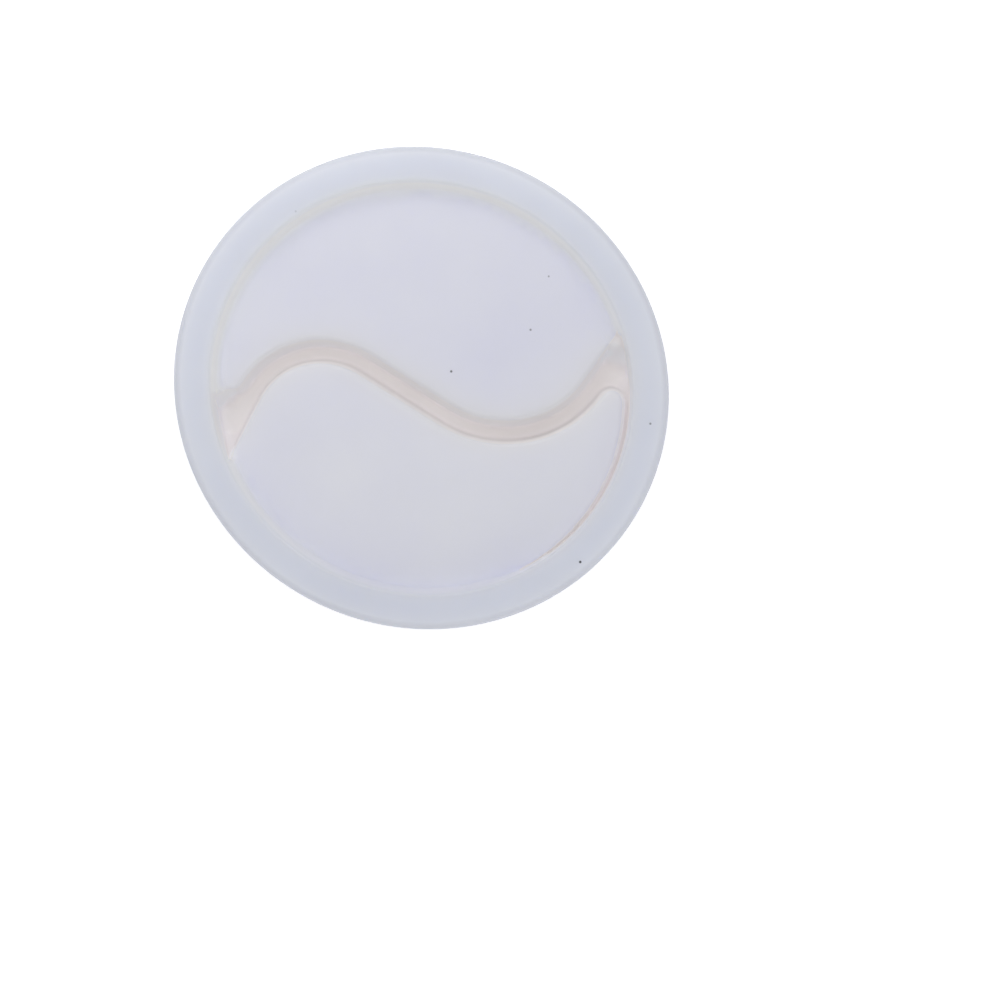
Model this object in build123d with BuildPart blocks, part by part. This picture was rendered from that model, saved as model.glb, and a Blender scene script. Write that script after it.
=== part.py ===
from build123d import *
import os
from math import acos, asin, atan2, cos, degrees, hypot, radians, sin, sqrt, tan

# Round silicone mould for casting a two-compartment dish. It is one soft casting, cut here along
# its natural levels: a base sheet, the rim wall that stands on it, and two comma-shaped cores.
# The S-shaped channel left between the cores casts the dish's dividing wall.
# Millimetres. +Z is up, and the origin is the centre of the underside.

# ---- Driving dimensions ----
mould_radius = 50.0        # outside of the rim wall at its foot
rim_width = 7.7            # across the flat top of the rim wall
total_height = 12.0        # underside to rim top
sheet_thickness = 2.0      # base sheet, the thin web seen through the channel
core_top = 8.0             # level of the cores' flat tops, 4 mm below the rim top

rim_draft = 2.0            # degrees that the rim wall's outer side leans in
rim_outer_round = 1.6
rim_inner_round = 0.6
foot_round = 0.8           # around the underside

# The channel bends round two centres. Each comma's head is an arc about one of them, and its
# hollow side is an arc about the other. A straight run, tangent to both, joins head and hollow.
left_bend = (-20.2, -8.9)  # centre of the lower comma's head
left_head_radius = 13.7
right_bend = (16.4, 13.4)  # centre of the upper comma's head
right_head_radius = 19.5
channel_width = 5.2        # between the two cores, at their tops

# Each comma's long outer side runs just inside the rim: it meets the rim wall beside the head,
# and leaves a crescent gap beside the tail.
outer_side_radius = 41.0
outer_side_shift = 1.2     # of its centre, towards the head's side
outer_side_heading = 240.0 # direction of that shift for the lower comma

lower_flank_angle = 152.5  # where the lower head's arc turns into its straight flank
upper_flank_angle = 144.0  # the same for the upper head, with the comma turned half round
tip_round = 2.0            # rounding of a tail's tip, at the top
head_corner_round = 3.0    # rounding where the flank meets the outer side, at the top
core_wall_run = 1.35       # how far a core's drafted wall spreads from its top to its foot
core_clearance = 0.05      # left between a core's foot and the rim wall

# ---- Worked out from them ----
rim_inner_radius = mould_radius - rim_width
rim_height = total_height - sheet_thickness
core_height = core_top - sheet_thickness
lean = rim_height * tan(radians(rim_draft))


def polar_point(centre, radius, angle):
    """The point at this radius and angle, in degrees, from a centre."""
    return (centre[0] + radius * cos(radians(angle)), centre[1] + radius * sin(radians(angle)))


def bearing(centre, point):
    """The angle, in degrees from 0 to 360, at which a centre sees a point."""
    return degrees(atan2(point[1] - centre[1], point[0] - centre[0])) % 360


def ray_meets_circle(start, angle, centre, radius):
    """Where a ray that starts inside a circle leaves it."""
    ahead = (cos(radians(angle)), sin(radians(angle)))
    offset = (start[0] - centre[0], start[1] - centre[1])
    along = offset[0] * ahead[0] + offset[1] * ahead[1]
    reach = sqrt(along**2 - offset[0] ** 2 - offset[1] ** 2 + radius**2) - along
    return (start[0] + reach * ahead[0], start[1] + reach * ahead[1])


def circles_meet(centre, radius, other_centre, other_radius):
    """The meeting point of two circles on the right of the line from centre to other_centre."""
    gap = hypot(other_centre[0] - centre[0], other_centre[1] - centre[1])
    half_angle = degrees(acos((radius**2 + gap**2 - other_radius**2) / (2 * radius * gap)))
    return polar_point(centre, radius, bearing(centre, other_centre) - half_angle)


def draw_arc(centre, radius, start_angle, end_angle):
    """A counter-clockwise arc between two bearings."""
    CenterArc(centre, radius, start_angle, (end_angle - start_angle) % 360)


def comma_outline(head, head_radius, bend, bend_radius, flank_angle, spread):
    """Five arcs and two straights, each tangent to the next, and all spread outwards alike."""
    outer = polar_point((0, 0), outer_side_shift, outer_side_heading)
    gap = hypot(bend[0] - head[0], bend[1] - head[1])
    run_angle = bearing(head, bend) - degrees(asin((head_radius + bend_radius) / gap)) + 90
    flank_inside = polar_point(head, head_radius - head_corner_round, flank_angle)
    corner_reach = outer_side_radius - head_corner_round
    corner = ray_meets_circle(flank_inside, flank_angle + 90, outer, corner_reach)
    tip = circles_meet(outer, outer_side_radius - tip_round, bend, bend_radius + tip_round)

    draw_arc(head, head_radius + spread, run_angle, flank_angle)
    Line(
        polar_point(head, head_radius + spread, flank_angle),
        polar_point(corner, head_corner_round + spread, flank_angle),
    )
    draw_arc(corner, head_corner_round + spread, flank_angle, bearing(outer, corner))
    draw_arc(outer, outer_side_radius + spread, bearing(outer, corner), bearing(outer, tip))
    draw_arc(tip, tip_round + spread, bearing(outer, tip), bearing(tip, bend))
    draw_arc(bend, bend_radius - spread, run_angle - 180, bearing(bend, tip))
    Line(
        polar_point(head, head_radius + spread, run_angle),
        polar_point(bend, bend_radius - spread, run_angle - 180),
    )


def comma_core(head, head_radius, bend, bend_radius, flank_angle):
    """A comma with its head at the left, drafted from its foot on the sheet up to its top."""
    with BuildPart() as core:
        for level, spread in ((sheet_thickness, core_wall_run), (core_top, 0)):
            with BuildSketch(Plane.XY.offset(level)):
                with BuildLine():
                    comma_outline(head, head_radius, bend, bend_radius, flank_angle, spread)
                make_face()
        loft(ruled=True)
        with BuildSketch(Plane.XY.offset(sheet_thickness)):
            Circle(rim_inner_radius - core_clearance)
        extrude(amount=core_height, mode=Mode.INTERSECT)
    return core


os.makedirs("parts", exist_ok=True)

# ---- Base sheet: the whole underside, and the thin web between and around the cores ----
with BuildPart() as base_sheet:
    with BuildSketch():
        Circle(mould_radius)
    extrude(amount=sheet_thickness)
    fillet(base_sheet.edges().sort_by(Axis.Z)[0], foot_round)
base_sheet.part.label = "base_sheet"
export_step(base_sheet.part, "parts/base_sheet.step")

# ---- Rim wall: a broad ring, upright inside and drafted outside, with rounded top edges ----
with BuildPart() as rim_wall:
    with BuildSketch(Plane.XZ) as rim_section:
        with BuildLine():
            Polyline(
                (rim_inner_radius, sheet_thickness),
                (mould_radius, sheet_thickness),
                (mould_radius - lean, total_height),
                (rim_inner_radius, total_height),
                close=True,
            )
        make_face()
        top_corners = rim_section.vertices().group_by(Axis.Y)[-1].sort_by(Axis.X)
        fillet(top_corners[-1], rim_outer_round)
        fillet(top_corners[0], rim_inner_round)
    revolve(axis=Axis.Z)
rim_wall.part.label = "rim_wall"
export_step(rim_wall.part, "parts/rim_wall.step")

# ---- Lower comma core: its head is at the left ----
lower_comma_core = comma_core(
    left_bend,
    left_head_radius,
    right_bend,
    right_head_radius + channel_width,
    lower_flank_angle,
)
lower_comma_core.part.label = "lower_comma_core"
export_step(lower_comma_core.part, "parts/lower_comma_core.step")

# ---- Upper comma core: drawn with its head at the left, then turned half round ----
upper_comma_core = comma_core(
    (-right_bend[0], -right_bend[1]),
    right_head_radius,
    (-left_bend[0], -left_bend[1]),
    left_head_radius + channel_width,
    upper_flank_angle,
)
upper_part = upper_comma_core.part.rotate(Axis.Z, 180)
upper_part.label = "upper_comma_core"
export_step(upper_part, "parts/upper_comma_core.step")
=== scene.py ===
import math

import bmesh
import bpy
import numpy as np
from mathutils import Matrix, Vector, geometry, noise


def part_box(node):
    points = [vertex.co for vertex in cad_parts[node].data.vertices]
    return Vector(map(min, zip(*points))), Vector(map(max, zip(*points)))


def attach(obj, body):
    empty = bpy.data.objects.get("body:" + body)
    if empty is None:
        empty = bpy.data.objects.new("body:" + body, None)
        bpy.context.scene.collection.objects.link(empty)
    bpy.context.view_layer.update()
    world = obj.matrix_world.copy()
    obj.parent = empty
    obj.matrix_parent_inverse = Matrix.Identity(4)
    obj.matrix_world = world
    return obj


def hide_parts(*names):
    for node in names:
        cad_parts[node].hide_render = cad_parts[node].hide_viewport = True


# A round, translucent white silicone casting mould, seen from straight above. The CAD model cuts it
# into a base sheet, a rim wall and two comma-shaped cores. Here one seamless skin replaces all four:
# the outlines and levels are read from the CAD nodes, and the edges are rounded as silicone's are.

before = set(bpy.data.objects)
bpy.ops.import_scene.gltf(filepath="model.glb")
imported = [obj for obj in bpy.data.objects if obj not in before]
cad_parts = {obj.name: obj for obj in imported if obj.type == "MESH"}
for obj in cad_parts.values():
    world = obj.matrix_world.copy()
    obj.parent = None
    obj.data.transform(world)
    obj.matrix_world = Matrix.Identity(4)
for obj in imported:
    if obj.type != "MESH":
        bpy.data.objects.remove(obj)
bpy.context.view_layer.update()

mm = 0.001

# ---- Levels and radii, from the frame ----
sheet_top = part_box("base_sheet")[1].z
core_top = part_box("lower_comma_core")[1].z
rim_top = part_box("rim_wall")[1].z
mould_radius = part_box("base_sheet")[1].x
rim_points = np.array([vertex.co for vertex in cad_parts["rim_wall"].data.vertices])
rim_inner = np.hypot(rim_points[:, 0], rim_points[:, 1]).min()

# ---- Edges and walls of the skin ----
core_wall_run = 1.35 * mm   # how far a core's wall spreads from top to foot
core_edge_round = 0.8 * mm
core_foot_round = 0.7 * mm
wall_run = 0.9 * mm         # the rim wall's inner side leans in this much towards its foot
wall_foot_round = 1.5 * mm
open_wall_run = 0.3 * mm    # the same two along an open gap, where the wall goes down to the sheet
open_foot_round = 0.4 * mm
wall_edge_round = 0.6 * mm
outer_lean = 0.35 * mm      # the rim wall's outer side leans in this much towards its top
outer_edge_round = 1.6 * mm
foot_round = 0.8 * mm
rim_crown = 0.08 * mm       # fall of the rim top from its inner to its outer edge

# The gap between a core and the rim wall, beside the core's tail or head. A gap narrower than the
# first distance is filled to the core's top, and one wider than the second is as deep as the channel.
open_groove = (0.3 * mm, 4.6 * mm)
half_shut_groove = (3.0 * mm, 6.4 * mm)
shut_groove = (3.1 * mm, 5.8 * mm)
no_groove = (-1 * mm, 0)    # never filled
lower_grooves = (open_groove, open_groove)     # left and right of the middle
upper_grooves = (shut_groove, half_shut_groove)
wedge_join = 1.0 * mm       # beside a wider gap at the right, the rim wall is as steep as an open one
wall_change = 0.6 * mm      # a gap this much wider than that has the fully open kind of rim wall
groove_blend = 0.6 * mm     # rounds the crease between a filled gap and a core's wall

# The soft mould lies slightly out of round: stretched along one heading, narrowed across it.
oval_heading = math.radians(-27)
oval_stretch = 1.0215

loop_spacing = 0.45 * mm

# ---- Look ----
# Tints, by the height of the surface. The rim wall's paler tint is painted light, the side's dark tint
# painted shade.
web_tint = (0.85, 0.824, 0.815)   # where the silicone is only as thick as the sheet
core_wall_tint = (0.94, 0.912, 0.908)
core_tint = (0.855, 0.86, 0.938)
# Painted light: paler than the rim and the cores, to lift the shade on the rim wall's inner side.
rim_wall_light_tint = (0.897, 0.905, 0.990)
rim_tint = (0.80, 0.823, 0.908)
# Painted shade: the outer side is tinted dark against the light it gets from the floor's glow and the
# fill.
side_shade_tint = (0.60, 0.62, 0.70)
side_depth = 2 * mm               # the tint level on the outer side, above the rim top's; it picks the painted-shade side tint
lower_tint_run = 0.8 * mm         # the lower core's tint ends this near to its top edge
wall_light_tint_height = core_top + 0.6 * mm  # the rim wall's inner side has at least this height's tint, near its paler painted-light one
seam_gap = 1.0 * mm               # the crescent gap is brown where it is about this wide
seam_spread = 0.75 * mm
wedge_tint_rise = 0.5 * mm        # the filled gap at the right has the tint this far above the sheet
wedge_end = 15 * mm               # the y at which that gap has run out, and how far before it fades
wedge_fade = 3 * mm

# Painted light and shade multiply the tint. Each says how much paler the silicone is painted, as light,
# or darker where it is negative, as shade. Most of them lie in soft bands, each with a middle and a
# width.
# Painted shade and painted highlights along a core's wall: which core, how much, the band's middle and
# width as distances outside the core's top edge, the heading in degrees that the wall faces, and the x at
# which the band begins.
any_x = -50 * mm
band_growth = 8 * mm              # it reaches its full strength this far beyond that x
painted_wall_bands = (
    ("lower", -0.06, 0.95 * mm, 0.35 * mm, 90, any_x),     # painted shade in the crease at its foot along the channel
    ("lower", -0.10, 0.9 * mm, 0.4 * mm, 115, 16 * mm),    # and darker painted shade towards the right
    ("lower", -0.01, 2.2 * mm, 0.8 * mm, 80, any_x),       # a little painted shade on the web beside it
    ("lower", 0.08, 0.3 * mm, 0.45 * mm, 170, any_x),      # a painted highlight along its left edge
    ("upper", 0.06, 1.0 * mm, 0.7 * mm, -60, any_x),       # painted light on its wall along the channel
)
# Painted shade on the rim wall's inner side towards a heading, and painted light opposite it: how much at
# the heading, how much opposite it, the middle and width as distances outside the wall's inner edge, and
# the heading.
painted_rim_band = (-0.09, 0.05, -0.3 * mm, 1.2 * mm, -65)
left_wall_painted_light = (0.08, -1.2 * mm, 0.8 * mm)  # painted light, at the same distances, beside the channel's left end
# Painted light in the filled gaps at the left and right: how much, and the middle and width as sizes of
# the gap.
wedge_painted_light = ((0.14, 4.1 * mm, 1.0 * mm), (0.13, 4.6 * mm, 1.3 * mm))
seam_painted_light = 0.02                  # painted light in the crescent gap
# Painted shading deep inside the cores: paler in the lower one, darker in the upper one.
core_painted_shading = {"lower": 0.018, "upper": -0.018}
core_shading_reach = 16 * mm         # a core's painted shading is full this far inside its outline

cloud_share = 0.03                # how much paler and darker the silicone is in places
scatter_reach = 6 * mm            # how far light wanders inside
roughness = 0.45
floor_glow = 0.55                 # keeps the floor white around the mould
floor_glow_under = 0.195          # under the mould, where it shows through the thin web
glow_start = 0.95                 # as a share of the mould's radius: it is full at the mould's edge
sky_strength = 0.484
key_place = (-0.042, 0.135, 0.22)
key_size = 0.2
key_power = 0.20
fill_place = (0.44, -0.76, 0.22)
fill_size = 0.6
fill_power = 0.9
light_bounces = 24                # light is reflected many times in the narrow channel
camera_place = (15.96 * mm, -22.75 * mm, rim_top + 478 * mm)
camera_lens = 85                  # in millimetres, as is the sensor's width
camera_sensor = 36

# Specks of dust caught in the silicone: x, y and radius in mm, and how dark.
specks = (
    (6.0, 3.5, 0.32, 0.8),
    (22.2, 12.0, 0.30, 0.6),
    (25.9, 22.9, 0.26, 0.5),
    (46.4, -7.3, 0.30, 0.6),
    (32.2, -35.3, 0.34, 1.0),
    (-25.4, 35.7, 0.30, 0.2),
)


# ---- Outlines ----
def ring(radius, count):
    """Evenly spaced points on a circle."""
    angles = np.linspace(0, 2 * math.pi, count, endpoint=False)
    return np.stack([radius * np.cos(angles), radius * np.sin(angles)], 1)


def top_outline(node):
    """A core's top outline, from its CAD mesh: evenly spaced points, counter-clockwise."""
    flatness = 0.001 * mm     # a face belongs to the top if its corners are this near to its level
    smoothing_passes = 4
    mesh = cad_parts[node].data
    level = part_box(node)[1].z
    keys = [tuple(round(c / mm, 3) for c in vertex.co) for vertex in mesh.vertices]
    uses = {}
    for face in mesh.polygons:
        if all(abs(mesh.vertices[i].co.z - level) < flatness for i in face.vertices):
            corners = [keys[i][:2] for i in face.vertices]
            for start, end in zip(corners, corners[1:] + corners[:1]):
                uses.setdefault(frozenset((start, end)), []).append((start, end))
    following = dict(pairs[0] for pairs in uses.values() if len(pairs) == 1)
    point = min(following)
    points = []
    for _ in following:
        points.append(point)
        point = following[point]
    points = np.array(points) * mm
    closed = np.vstack([points, points[:1]])
    travelled = np.concatenate([[0], np.cumsum(np.linalg.norm(np.diff(closed, axis=0), axis=1))])
    count = int(travelled[-1] / loop_spacing)
    stations = np.linspace(0, travelled[-1], count, endpoint=False)
    loop = np.stack([np.interp(stations, travelled, closed[:, axis]) for axis in (0, 1)], 1)
    for _ in range(smoothing_passes):
        loop = (np.roll(loop, 1, 0) + 2 * loop + np.roll(loop, -1, 0)) / 4
    return loop


def run_into_rim(loop):
    """Pushes the stretch beside a core's head outwards, where the core runs into the rim wall."""
    bridge_gap = 0.7 * mm
    bridge_push = 0.9 * mm
    radius = np.hypot(loop[:, 0], loop[:, 1])
    push = bridge_push * np.clip(1 - (rim_inner - radius) / bridge_gap, 0, 1)
    return loop * ((radius + push) / radius)[:, None]


def inset(loop, distance):
    """The loop moved inwards, or outwards for a negative distance."""
    along = np.roll(loop, -1, 0) - np.roll(loop, 1, 0)
    left = np.stack([-along[:, 1], along[:, 0]], 1)
    return loop + distance * left / np.linalg.norm(left, axis=1)[:, None]


def signed_distance(points, loop):
    """Distance from each point to the loop, positive inside it."""
    batch = 4000              # points at a time, to keep the arrays small
    ends = np.roll(loop, -1, 0)
    step = ends - loop
    result = np.empty(len(points))
    for first in range(0, len(points), batch):
        part = points[first:first + batch, None, :]
        share = np.clip(((part - loop) * step).sum(2) / (step**2).sum(1), 0, 1)
        away = np.linalg.norm(part - loop - share[..., None] * step, axis=2).min(1)
        straddles = (loop[:, 1] > part[..., 1]) != (ends[:, 1] > part[..., 1])
        rise = np.where(step[:, 1] == 0, 1e-12, step[:, 1])    # never zero, to divide by it
        crossing = loop[:, 0] + (part[..., 1] - loop[:, 1]) * step[:, 0] / rise
        inside = (straddles & (part[..., 0] < crossing)).sum(1) % 2 == 1
        result[first:first + batch] = np.where(inside, away, -away)
    return result


# ---- Height of the top surface ----
def core_profile():
    """Height above the sheet against distance inside a core's top outline: a drafted wall, rounded
    where it meets the flat top and the sheet."""
    height = core_top - sheet_top
    slope = math.atan2(height, core_wall_run)
    turns = np.linspace(0, slope, 9)
    foot_reach = core_foot_round * math.tan(slope / 2)
    edge_reach = core_edge_round * math.tan(slope / 2)
    foot = [
        (-core_wall_run - foot_reach + core_foot_round * math.sin(t), core_foot_round * (1 - math.cos(t)))
        for t in turns
    ]
    edge = [
        (edge_reach - core_edge_round * math.sin(t), height - core_edge_round * (1 - math.cos(t)))
        for t in turns[::-1]
    ]
    return np.array(foot + edge)


def blended_max(first, second, blend):
    """The higher of two heights, rounded where they cross."""
    overlap = np.clip(blend - np.abs(first - second), 0, None)
    return np.maximum(first, second) + overlap**2 / (4 * blend)


def open_share(points, loops):
    """0 where the nearest stretch of rim wall has a core joined to it, 1 where a gap lies open."""
    marks = ring(rim_inner, 720)    # one every half degree
    gap = np.full(len(marks), np.inf)
    for loop, (left, right) in zip(loops, (lower_grooves, upper_grooves)):
        joined = np.where(marks[:, 0] < 0, left[0], min(right[0], wedge_join))
        gap = np.minimum(gap, -signed_distance(marks, loop) - joined)
    share = np.clip(gap / wall_change, 0, 1)
    headings = np.arctan2(points[:, 1], points[:, 0])
    return np.interp(headings, np.arctan2(marks[:, 1], marks[:, 0]), share, period=2 * math.pi)


def fill_share(points, inside, sides):
    """How far the gap between a core and the rim wall is filled: 0 not at all, 1 to the core's top."""
    gap = np.clip(-inside, 0, None) + np.clip(rim_inner - np.hypot(points[:, 0], points[:, 1]), 0, None)
    left, right = [np.clip((opened - gap) / (opened - closed), 0, 1) for closed, opened in sides]
    return np.where(points[:, 0] < 0, left, right)


def skin_height(points, loops, grooves, shapes):
    """Height of the mould's top surface at points within the rim's inner edge and just outside it.
    The shapes are the cores' profiles."""
    radius = np.hypot(points[:, 0], points[:, 1])
    floor = np.zeros(len(points))
    for loop, sides, shape in zip(loops, grooves, shapes):
        inside = signed_distance(points, loop)
        level = np.interp(inside, shape[:, 0], shape[:, 1])
        filled = fill_share(points, inside, sides)
        blended = blended_max(level, (core_top - sheet_top) * filled, groove_blend)
        level = np.where(filled > 0, blended, level)
        floor = np.maximum(floor, level)
    floor += sheet_top
    share = open_share(points, loops)
    run = wall_run + share * (open_wall_run - wall_run)
    foot = wall_foot_round + share * (open_foot_round - wall_foot_round)
    to_wall = rim_inner - run - radius
    near = np.clip(foot - to_wall, 0, foot)
    floor += foot - np.sqrt(foot**2 - near**2)
    wall_top = rim_top - wall_edge_round
    climb = np.clip(-to_wall / run, 0, 1)
    height = floor + (wall_top - floor) * climb
    over = np.clip(radius - rim_inner, 0, wall_edge_round)
    height += np.sqrt(wall_edge_round**2 - (wall_edge_round - over) ** 2)
    return height


def facing(points, loop, inside, heading):
    """How squarely a core's nearest wall faces a heading: 1 straight at it, 0 from side-on round."""
    probe = 0.05 * mm
    moved = points + probe * np.array([math.cos(heading), math.sin(heading)])
    return np.clip((inside - signed_distance(moved, loop)) / probe, 0, 1)


def band(distance, middle, width):
    """1 at the band's middle, fading to nothing within about twice its width."""
    return np.exp(-(((distance - middle) / width) ** 2))


def tint_heights(points, loops, inside, on_wall, seam):
    """The height that picks each point's tint. It is the surface's own, but the rim wall takes the
    paler tint of painted light, the lower core's tint ends nearer to its top, and the crescent gap and
    the filled gap at the right are brown."""
    lower_shape = np.array([(-lower_tint_run, 0), (0, core_top - sheet_top)])
    grooves = ((no_groove, no_groove), (shut_groove, no_groove))
    height = skin_height(points, loops, grooves, (lower_shape, core_profile()))
    # Painted light: the rim wall's inner side gets the paler tint.
    height = np.where(on_wall, np.maximum(height, wall_light_tint_height), height)
    height += seam * (sheet_top - height)
    filled = fill_share(points, inside["upper"], upper_grooves)
    wedge = np.clip(3 * filled, 0, 1) * np.clip((wedge_end - points[:, 1]) / wedge_fade, 0, 1)
    wedge *= (inside["upper"] < 0) * (points[:, 0] > 0) * ~on_wall
    return height + wedge * (sheet_top + wedge_tint_rise - height)


def painted_core_shading_at(points, loops, inside, on_wall):
    """The painted light and shade that the cores add: deep inside them, and in bands along their walls.
    """
    added = np.zeros(len(points))
    for core, strength in core_painted_shading.items():
        added += strength * np.clip(inside[core] / core_shading_reach, 0, 1)
    for core, strength, middle, width, heading, start in painted_wall_bands:
        loop = loops[0] if core == "lower" else loops[1]
        squarely = facing(points, loop, inside[core], math.radians(heading)) ** 2
        share = squarely * np.clip((points[:, 0] - start) / band_growth, 0, 1) * ~on_wall
        added += strength * band(-inside[core], middle, width) * share
    return added


def painted_gap_light_at(points, inside, radius, on_wall):
    """The painted light that the filled gaps beside the upper core add."""
    edge_fade = 0.4 * mm
    gap = np.clip(rim_inner - radius, 0, None) - inside["upper"]
    beyond = np.clip(-inside["upper"] / edge_fade, 0, 1)
    left, right = [strength * band(gap, middle, width) for strength, middle, width in wedge_painted_light]
    return np.where(points[:, 0] < 0, left, right) * beyond * ~on_wall


def painted_rim_shading_at(points, radius, parted):
    """The painted shade and light on the rim wall's inner side: all round, and beside the left end."""
    edge_margin = 0.1 * mm
    darker, paler, middle, width, heading = painted_rim_band
    along = np.array([math.cos(math.radians(heading)), math.sin(math.radians(heading))])
    towards = points @ along / radius
    strength = darker * np.clip(towards, 0, 1) + paler * np.clip(-towards, 0, 1)
    joined = np.where(radius < rim_inner - edge_margin, 1 - parted, 1)
    added = strength * band(radius - rim_inner, middle, width) * joined
    strength, middle, width = left_wall_painted_light
    beside = parted * np.clip(-points[:, 0] / radius, 0, 1)
    return added + strength * beside * band(radius - rim_inner, middle, width)


def colouring(points, loops):
    """A height that picks the tint, and painted light and shade that multiply it, for each point."""
    inside = {"lower": signed_distance(points, loops[0]), "upper": signed_distance(points, loops[1])}
    radius = np.hypot(points[:, 0], points[:, 1])
    parted = open_share(points, loops)
    on_wall = radius > rim_inner - wall_run + parted * (wall_run - open_wall_run)
    gap = np.clip(rim_inner - radius, 0, None) - inside["lower"]
    seam = band(gap, seam_gap, seam_spread) * (inside["lower"] < 0) * ~on_wall
    height = tint_heights(points, loops, inside, on_wall, seam)
    # Painted light and shade, from the crescent gap, the cores, the filled gaps and the rim wall.
    painted_shading = 1 + seam_painted_light * seam
    painted_shading += painted_core_shading_at(points, loops, inside, on_wall)
    painted_shading += painted_gap_light_at(points, inside, radius, on_wall)
    painted_shading += painted_rim_shading_at(points, radius, parted)
    return height, painted_shading


# ---- The mesh ----
def plan_points(loops, join_radius, ring_count):
    """The plan's points, and the edges along its loops: rings at the rim wall, loops that follow
    each core's edges, and an open triangular grid between them."""
    # In mm: how far outside the rim wall's inner edge each ring lies.
    wall_places = (1.0, 0.6, 0.42, 0.27, 0.15, 0.06, 0, -0.06, -0.12, -0.18, -0.24, -0.30)
    foot_places = (-0.36, -0.45, -0.56, -0.68, -0.8, -0.92, -1.06, -1.2, -1.35)
    # In mm: how far inside a core's top outline each loop lies.
    core_places = (1.5, 1.0, 0.72, 0.55, 0.38, 0.22, 0.06, -0.09, -0.3, -0.5, -0.7, -0.9, -1.1, -1.27)
    channel_places = (-1.4, -1.55, -1.7, -1.9, -2.25)
    cell = 0.11 * mm          # no two points are nearer than this
    fill_spacing = 1.5 * mm   # the grid keeps clear of the loops by the next three distances
    grid_edge = 1.9 * mm
    inside_clear = 2.2 * mm
    outside_clear = 2.9 * mm
    points, edges, taken = [], [], {}

    def add(place):
        column, row = int(place[0] // cell), int(place[1] // cell)
        for i in (column - 1, column, column + 1):
            for j in (row - 1, row, row + 1):
                for other in taken.get((i, j), ()):
                    if math.dist(points[other], place) < cell:
                        return None
        points.append((float(place[0]), float(place[1])))
        taken.setdefault((column, row), []).append(len(points) - 1)
        return len(points) - 1

    def add_loop(loop):
        indices = [add(place) for place in loop]
        for start, end in zip(indices, indices[1:] + indices[:1]):
            if start is not None and end is not None:
                edges.append((start, end))

    rim_margin = 0.4 * mm     # no core loop comes nearer to the rim wall's inner edge than this
    add_loop(ring(join_radius, ring_count))
    for place in wall_places + foot_places:
        add_loop(ring(rim_inner + place * mm, ring_count))
    for place in core_places + channel_places:
        for loop in loops:
            moved = inset(loop, place * mm)
            kept = np.hypot(moved[:, 0], moved[:, 1]) < rim_inner - rim_margin
            indices = [add(p) if keep else None for p, keep in zip(moved, kept)]
            for start, end in zip(indices, indices[1:] + indices[:1]):
                if start is not None and end is not None:
                    edges.append((start, end))
    row_rise = 0.866          # height of a triangle with sides of 1
    rows = int(rim_inner / fill_spacing / row_rise) + 1
    grid = [
        ((i + 0.5 * (j % 2)) * fill_spacing, j * row_rise * fill_spacing)
        for j in range(-rows, rows + 1)
        for i in range(-rows, rows + 1)
    ]
    grid = np.array([place for place in grid if math.hypot(*place) < rim_inner - grid_edge])
    clear = np.ones(len(grid), bool)
    for loop in loops:
        distance = signed_distance(grid, loop)
        clear &= (distance > inside_clear) | (distance < -outside_clear)
    for place in grid[clear]:
        add(place)
    return points, edges


def outer_section(join_radius):
    """(radius, height, tint depth) from the rim top, over the outer edge and down to the underside."""
    section = []
    crown_end = mould_radius - outer_lean - outer_edge_round
    for share in (0.25, 0.5, 0.75, 1):
        radius = join_radius + share * (crown_end - join_radius)
        section.append((radius, rim_top - rim_crown * share**2, rim_top))
    edge_z = rim_top - rim_crown - outer_edge_round
    for turn in np.linspace(0, math.pi / 2, 9)[1:]:
        reach, lift = outer_edge_round * math.sin(turn), outer_edge_round * math.cos(turn)
        section.append((crown_end + reach, edge_z + lift, rim_top + side_depth * math.sin(turn)))
    for share in (0.25, 0.5, 0.75, 1):
        radius = mould_radius - outer_lean * (1 - share)
        section.append((radius, edge_z + share * (foot_round - edge_z), rim_top + side_depth))
    for turn in np.linspace(0, math.pi / 2, 6)[1:]:
        reach, drop = foot_round * math.cos(turn), foot_round * math.sin(turn)
        section.append((mould_radius - foot_round + reach, foot_round - drop, rim_top + side_depth))
    section.append((0.5 * (mould_radius + join_radius), 0.0, rim_top))
    return section


def unevenness(x, y, z):
    """Small slow height changes of a hand-poured surface, none on the underside."""
    if z < foot_round:
        return 0.0
    slow_size, slow_height = 22 * mm, 0.06 * mm
    fine_size, fine_height = 7 * mm, 0.012 * mm
    slow = noise.noise(Vector((x, y, z)) / slow_size)
    fine = noise.noise(Vector((x, y, z)) / fine_size + Vector((5, 3, 1)))
    return slow_height * slow + fine_height * fine


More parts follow.
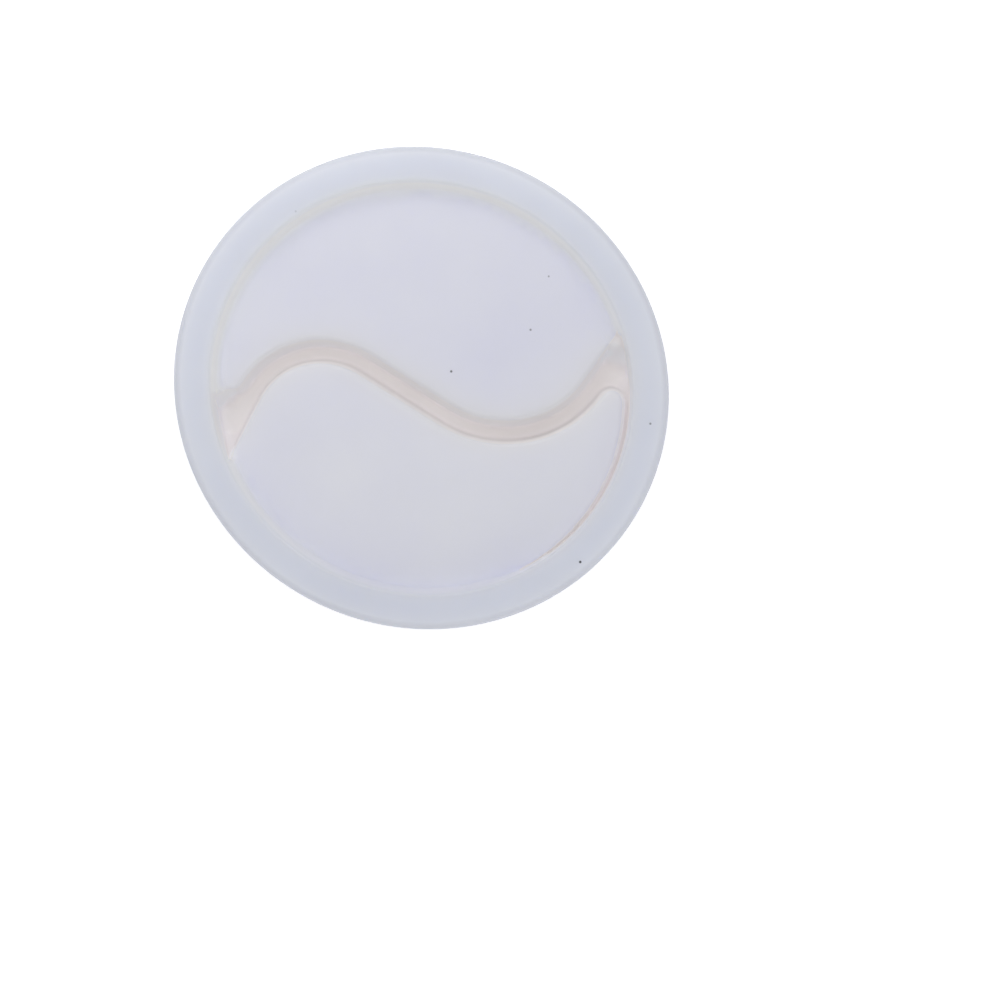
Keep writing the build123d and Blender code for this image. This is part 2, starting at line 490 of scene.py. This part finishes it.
def build_skin():
    """One closed mesh: the top surface, the rim's outer side and the underside."""
    ring_count = 600                      # points around each ring
    join_radius = rim_inner + 1.6 * mm    # the plan's mesh meets the lathed rim here
    loops = [run_into_rim(top_outline(node)) for node in ("lower_comma_core", "upper_comma_core")]
    points, edges = plan_points(loops, join_radius, ring_count)
    whole_plan, merge_distance = 0, 1e-7
    placed, _, faces, origins, _, _ = geometry.delaunay_2d_cdt(
        [Vector(place) for place in points], edges, [], whole_plan, merge_distance
    )
    plan = np.array([tuple(place) for place in placed])
    shapes = (core_profile(), core_profile())
    heights = skin_height(plan, loops, (lower_grooves, upper_grooves), shapes)
    depths, painted_shading_values = colouring(plan, loops)

    build = bmesh.new()
    tint_layer = build.verts.layers.float.new("tint_level")
    painted_shading_layer = build.verts.layers.float.new("painted_shading")

    def vertex(x, y, z, depth, painted_shading=1.0):
        made = build.verts.new((x, y, z + unevenness(x, y, z)))
        made[tint_layer] = depth / mm
        made[painted_shading_layer] = painted_shading
        return made

    top = [vertex(x, y, *rest) for (x, y), *rest in zip(plan, heights, depths, painted_shading_values)]
    under = [vertex(x, y, 0, depth) for (x, y), depth in zip(plan, depths)]
    for face in faces:
        build.faces.new([top[i] for i in face])
        build.faces.new([under[i] for i in reversed(face)])
    # The plan's first points are its outermost ring, where the lathed rim begins.
    at_join = {old: new for new, olds in enumerate(origins) for old in olds if old < ring_count}
    above = [top[at_join[i]] for i in range(ring_count)]
    for radius, z, depth in outer_section(join_radius):
        below = [vertex(x, y, z, depth) for x, y in ring(radius, ring_count)]
        for i in range(ring_count):
            j = (i + 1) % ring_count
            build.faces.new((above[i], below[i], below[j], above[j]))
        above = below
    below = [under[at_join[i]] for i in range(ring_count)]
    for i in range(ring_count):
        j = (i + 1) % ring_count
        build.faces.new((above[i], below[i], below[j], above[j]))
    bmesh.ops.recalc_face_normals(build, faces=build.faces)

    # Out of round, in plan only.
    along = Vector((math.cos(oval_heading), math.sin(oval_heading), 0))
    for v in build.verts:
        share = v.co.dot(along)
        v.co = along * share * (oval_stretch - 1) + v.co
        across = v.co - along * v.co.dot(along)
        across.z = 0
        v.co -= across * (1 - 1 / oval_stretch)

    mesh = bpy.data.meshes.new("silicone_mould")
    build.to_mesh(mesh)
    build.free()
    mesh.polygons.foreach_set("use_smooth", [True] * len(mesh.polygons))
    skin = bpy.data.objects.new("silicone_mould", mesh)
    bpy.context.scene.collection.objects.link(skin)
    return skin


# ---- Materials ----
def add_node(tree, kind, **settings):
    """A node with its settings and input values."""
    node = tree.nodes.new(kind)
    for name, value in settings.items():
        if hasattr(node, name):
            setattr(node, name, value)
        else:
            node.inputs[name.replace("_", " ")].default_value = value
    return node


def speck_pattern(tree, position):
    """0 on clean silicone, up to a speck's darkness inside it."""
    flat = add_node(tree, "ShaderNodeVectorMath", operation="MULTIPLY")
    flat.inputs[1].default_value = (1, 1, 0)
    tree.links.new(position, flat.inputs[0])
    darkest = None
    for x, y, radius, darkness in specks:
        away = add_node(tree, "ShaderNodeVectorMath", operation="DISTANCE")
        away.inputs[1].default_value = (x * mm, y * mm, 0)
        dot = add_node(tree, "ShaderNodeMapRange", To_Min=darkness, To_Max=0.0)
        dot.inputs["From Min"].default_value = 0.4 * radius * mm
        dot.inputs["From Max"].default_value = radius * mm
        tree.links.new(flat.outputs["Vector"], away.inputs[0])
        tree.links.new(away.outputs["Value"], dot.inputs["Value"])
        if darkest is None:
            darkest = dot.outputs["Result"]
        else:
            either = add_node(tree, "ShaderNodeMath", operation="MAXIMUM")
            tree.links.new(darkest, either.inputs[0])
            tree.links.new(dot.outputs["Result"], either.inputs[1])
            darkest = either.outputs["Value"]
    return darkest


def silicone_material():
    """Milky silicone: bluish white where it is thick, warmer where it is a thin web, with painted light
    and shade multiplying the tint.
    """
    wall_ends = 1.5 * mm        # a core's wall has one tint between this far from its foot and top
    rim_wall_light_start = 0.8 * mm   # the rim wall's paler tint, which is painted light, as heights above the cores' tops
    rim_wall_light_end = 2.8 * mm
    material = bpy.data.materials.new("translucent_silicone")
    material.use_nodes = True
    tree = material.node_tree
    shader = tree.nodes["Principled BSDF"]
    shader.inputs["Roughness"].default_value = roughness
    shader.inputs["Specular IOR Level"].default_value = 0.4
    shader.inputs["IOR"].default_value = 1.41
    shader.inputs["Subsurface Weight"].default_value = 1.0
    shader.inputs["Subsurface Radius"].default_value = (1.0, 1.0, 1.0)
    shader.inputs["Subsurface Scale"].default_value = scatter_reach

    depth = add_node(tree, "ShaderNodeAttribute", attribute_name="tint_level")
    lowest, highest = sheet_top, rim_top + side_depth
    share = add_node(tree, "ShaderNodeMapRange", From_Min=lowest / mm, From_Max=highest / mm)
    tint = add_node(tree, "ShaderNodeValToRGB")
    tree.links.new(depth.outputs["Fac"], share.inputs["Value"])
    tree.links.new(share.outputs["Result"], tint.inputs["Fac"])
    ramp = tint.color_ramp
    # The side's tint at the ramp's top is painted shade; the rim wall's stops below are painted light.
    ramp.elements[0].color = (*web_tint, 1)
    ramp.elements[1].color = (*side_shade_tint, 1)
    for level, colour in (
        (sheet_top + wall_ends, core_wall_tint),
        (core_top - wall_ends, core_wall_tint),
        (core_top, core_tint),
        (core_top + rim_wall_light_start, rim_wall_light_tint),
        (core_top + rim_wall_light_end, rim_wall_light_tint),
        (rim_top, rim_tint),
    ):
        stop = ramp.elements.new((level - lowest) / (highest - lowest))
        stop.color = (*colour, 1)

    place = add_node(tree, "ShaderNodeTexCoord")
    cloud = add_node(tree, "ShaderNodeTexNoise", Scale=45.0, Detail=2.0)
    paler = add_node(tree, "ShaderNodeMapRange", To_Min=1 - cloud_share, To_Max=1 + cloud_share)
    # Painted light and shade from the mesh multiply the tint, together with the random clouding.
    painted_shading = add_node(tree, "ShaderNodeAttribute", attribute_name="painted_shading")
    cloud_and_painted_shading = add_node(tree, "ShaderNodeMath", operation="MULTIPLY")
    clouded_and_shaded = add_node(tree, "ShaderNodeVectorMath", operation="SCALE")
    tree.links.new(place.outputs["Object"], cloud.inputs["Vector"])
    tree.links.new(cloud.outputs["Fac"], paler.inputs["Value"])
    tree.links.new(tint.outputs["Color"], clouded_and_shaded.inputs[0])
    tree.links.new(paler.outputs["Result"], cloud_and_painted_shading.inputs[0])
    tree.links.new(painted_shading.outputs["Fac"], cloud_and_painted_shading.inputs[1])
    tree.links.new(cloud_and_painted_shading.outputs["Value"], clouded_and_shaded.inputs["Scale"])
    colour = add_node(tree, "ShaderNodeMix", data_type="RGBA")
    colour.inputs["B"].default_value = (0.05, 0.05, 0.06, 1)
    tree.links.new(speck_pattern(tree, place.outputs["Object"]), colour.inputs["Factor"])
    tree.links.new(clouded_and_shaded.outputs["Vector"], colour.inputs["A"])
    tree.links.new(colour.outputs["Result"], shader.inputs["Base Color"])

    grain = add_node(tree, "ShaderNodeTexNoise", Scale=900.0, Detail=3.0)
    waves = add_node(tree, "ShaderNodeTexNoise", Scale=60.0, Detail=2.0)
    tree.links.new(place.outputs["Object"], grain.inputs["Vector"])
    tree.links.new(place.outputs["Object"], waves.inputs["Vector"])
    fine = add_node(tree, "ShaderNodeBump", Strength=0.05, Distance=0.1 * mm)
    broad = add_node(tree, "ShaderNodeBump", Strength=0.15, Distance=0.3 * mm)
    tree.links.new(grain.outputs["Fac"], fine.inputs["Height"])
    tree.links.new(waves.outputs["Fac"], broad.inputs["Height"])
    tree.links.new(broad.outputs["Normal"], fine.inputs["Normal"])
    tree.links.new(fine.outputs["Normal"], shader.inputs["Normal"])
    return material


def floor_material():
    """Plain matt white that glows a little, and less where the mould covers it."""
    material = bpy.data.materials.new("studio_floor")
    material.use_nodes = True
    tree = material.node_tree
    shader = tree.nodes["Principled BSDF"]
    shader.inputs["Base Color"].default_value = (0.9, 0.9, 0.9, 1)
    shader.inputs["Roughness"].default_value = 0.9
    shader.inputs["Specular IOR Level"].default_value = 0.1
    shader.inputs["Emission Color"].default_value = (1, 1, 1, 1)
    place = add_node(tree, "ShaderNodeNewGeometry")
    reach = add_node(tree, "ShaderNodeVectorMath", operation="LENGTH")
    glow = add_node(tree, "ShaderNodeMapRange", To_Min=floor_glow_under, To_Max=floor_glow)
    glow.inputs["From Min"].default_value = glow_start * mould_radius
    glow.inputs["From Max"].default_value = mould_radius / oval_stretch
    tree.links.new(place.outputs["Position"], reach.inputs[0])
    tree.links.new(reach.outputs["Value"], glow.inputs["Value"])
    tree.links.new(glow.outputs["Result"], shader.inputs["Emission Strength"])
    return material


# ---- Stage ----
def make_floor():
    bpy.ops.mesh.primitive_plane_add(size=4)
    floor = bpy.context.object
    floor.name = "floor"
    floor.location.z = -0.1 * mm
    floor.data.materials.append(floor_material())


def make_world():
    world = bpy.data.worlds.new("studio")
    world.use_nodes = True
    background = world.node_tree.nodes["Background"]
    background.inputs["Color"].default_value = (1, 1, 1, 1)
    background.inputs["Strength"].default_value = sky_strength
    bpy.context.scene.world = world


def add_light(name, position, size, power):
    """A square soft light that faces the middle of the mould."""
    data = bpy.data.lights.new(name, "AREA")
    data.size = size
    data.energy = power
    light = bpy.data.objects.new(name, data)
    light.location = position
    light.rotation_euler = (-Vector(position)).to_track_quat("-Z", "Y").to_euler()
    light.visible_camera = False
    bpy.context.scene.collection.objects.link(light)


def make_camera():
    """Looks straight down. It stands over a point to the mould's front right."""
    data = bpy.data.cameras.new("camera")
    data.lens = camera_lens
    data.sensor_width = camera_sensor
    data.clip_start = 0.01
    camera = bpy.data.objects.new("camera", data)
    camera.location = camera_place
    bpy.context.scene.collection.objects.link(camera)
    bpy.context.scene.camera = camera


make_camera()
make_world()
make_floor()
add_light("key", key_place, key_size, key_power)
add_light("fill", fill_place, fill_size, fill_power)

skin = build_skin()
skin.data.materials.append(silicone_material())
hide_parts("base_sheet", "rim_wall", "lower_comma_core", "upper_comma_core")
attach(skin, "root")

bpy.context.scene.view_settings.view_transform = "Standard"
bpy.context.scene.cycles.diffuse_bounces = light_bounces
bpy.context.scene.cycles.max_bounces = light_bounces
